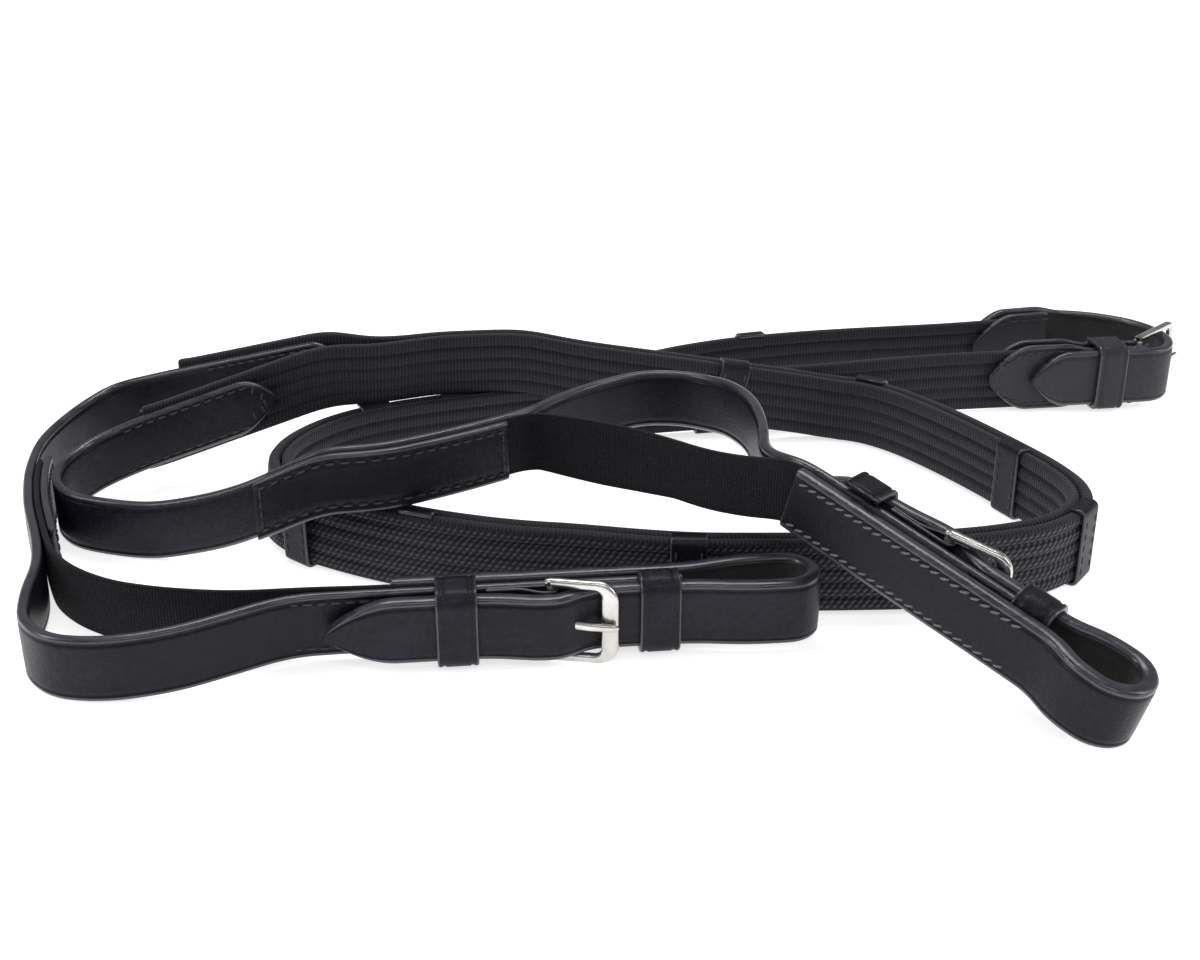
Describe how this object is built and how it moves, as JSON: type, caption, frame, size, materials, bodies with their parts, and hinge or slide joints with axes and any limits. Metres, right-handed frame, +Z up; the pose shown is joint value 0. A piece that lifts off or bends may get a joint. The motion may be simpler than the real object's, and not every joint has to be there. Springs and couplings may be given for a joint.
{
  "type": "pair of bridle reins",
  "caption": "Pair of leather and ribbed web bridle reins with elastic inserts, buckled at the centre, coiled on edge with a buckled bit loop at each free end.",
  "frame": {"origin": "on the table under the middle of the laid reins", "axes": "+X along the length of the coil towards the centre buckle, +Y across it, +Z up"},
  "size_m": [0.3513, 0.2434, 0.0422],
  "materials": {
    "bridle_leather": "satin, waxed face with a rougher flesh side",
    "soft_leather": "matt",
    "ribbed_web": "ribbed cotton web",
    "elastic": "woven elastic",
    "stainless": "polished stainless steel"
  },
  "bodies": {
    "reins": {"outer_main_strap": "bridle_leather", "outer_elastic": "elastic", "outer_patch": "soft_leather", "outer_web": "ribbed_web", "outer_splice_backing": "soft_leather", "outer_hand_stop_1": "soft_leather", "outer_hand_stop_2": "soft_leather", "outer_hand_stop_3": "soft_leather", "outer_hand_stop_4": "soft_leather", "outer_hand_stop_5": "soft_leather", "outer_hand_stop_6": "soft_leather", "outer_billet": "bridle_leather", "outer_buckle_chape": "bridle_leather", "outer_fixed_keeper": "soft_leather", "inner_main_strap": "bridle_leather", "inner_elastic": "elastic", "inner_patch": "soft_leather", "inner_web": "ribbed_web", "inner_splice_backing": "soft_leather", "inner_hand_stop_1": "soft_leather", "inner_hand_stop_2": "soft_leather", "inner_hand_stop_3": "soft_leather", "inner_hand_stop_4": "soft_leather", "inner_hand_stop_5": "soft_leather", "inner_hand_stop_6": "soft_leather", "inner_billet": "bridle_leather", "inner_buckle_chape": "bridle_leather", "inner_fixed_keeper": "soft_leather", "centre_chape": "soft_leather", "centre_billet": "bridle_leather", "centre_billet_backing": "soft_leather", "centre_keeper": "soft_leather"},
    "outer_buckle": {"outer_buckle_frame": "stainless"},
    "outer_prong": {"outer_buckle_prong": "stainless"},
    "outer_loop": {"outer_runner": "soft_leather"},
    "inner_buckle": {"inner_buckle_frame": "stainless"},
    "inner_prong": {"inner_buckle_prong": "stainless"},
    "inner_loop": {"inner_runner": "soft_leather"},
    "centre_buckle": {"centre_buckle_frame": "stainless"},
    "centre_prong": {"centre_buckle_prong": "stainless"}
  },
  "joints": [
    {"name": "outer_buckle_hinge", "type": "hinge", "parent": "reins", "child": "outer_buckle", "pos_m": [-0.02824, -0.07726, 0.0106], "axis": [0, 0, -1], "range_deg": [0, 6]},
    {"name": "outer_prong_hinge", "type": "hinge", "parent": "outer_buckle", "child": "outer_prong", "pos_m": [-0.02824, -0.07726, 0.0106], "axis": [0, 0, -1], "range_deg": [0, 3]},
    {"name": "outer_runner_slide", "type": "slide", "parent": "reins", "child": "outer_loop", "axis": [0.994, 0.1097, 0], "range_m": [-0.004, 0.002]},
    {"name": "inner_buckle_hinge", "type": "hinge", "parent": "reins", "child": "inner_buckle", "pos_m": [0.05886, -0.07801, 0.02417], "axis": [0.1986, -0.1813, 0.9632], "range_deg": [0, 6]},
    {"name": "inner_prong_hinge", "type": "hinge", "parent": "inner_buckle", "child": "inner_prong", "pos_m": [0.05886, -0.07801, 0.02417], "axis": [0.1986, -0.1813, 0.9632], "range_deg": [0, 3]},
    {"name": "inner_runner_slide", "type": "slide", "parent": "reins", "child": "inner_loop", "axis": [0.7113, -0.6495, -0.2689], "range_m": [-0.004, 0.002]},
    {"name": "centre_buckle_hinge", "type": "hinge", "parent": "reins", "child": "centre_buckle", "pos_m": [0.156, 0.0863, 0.0117], "axis": [0, 0, -1], "range_deg": [0, 5]},
    {"name": "centre_prong_hinge", "type": "hinge", "parent": "centre_buckle", "child": "centre_prong", "pos_m": [0.156, 0.0863, 0.0117], "axis": [0, 0, -1], "range_deg": [0, 5]}
  ]
}
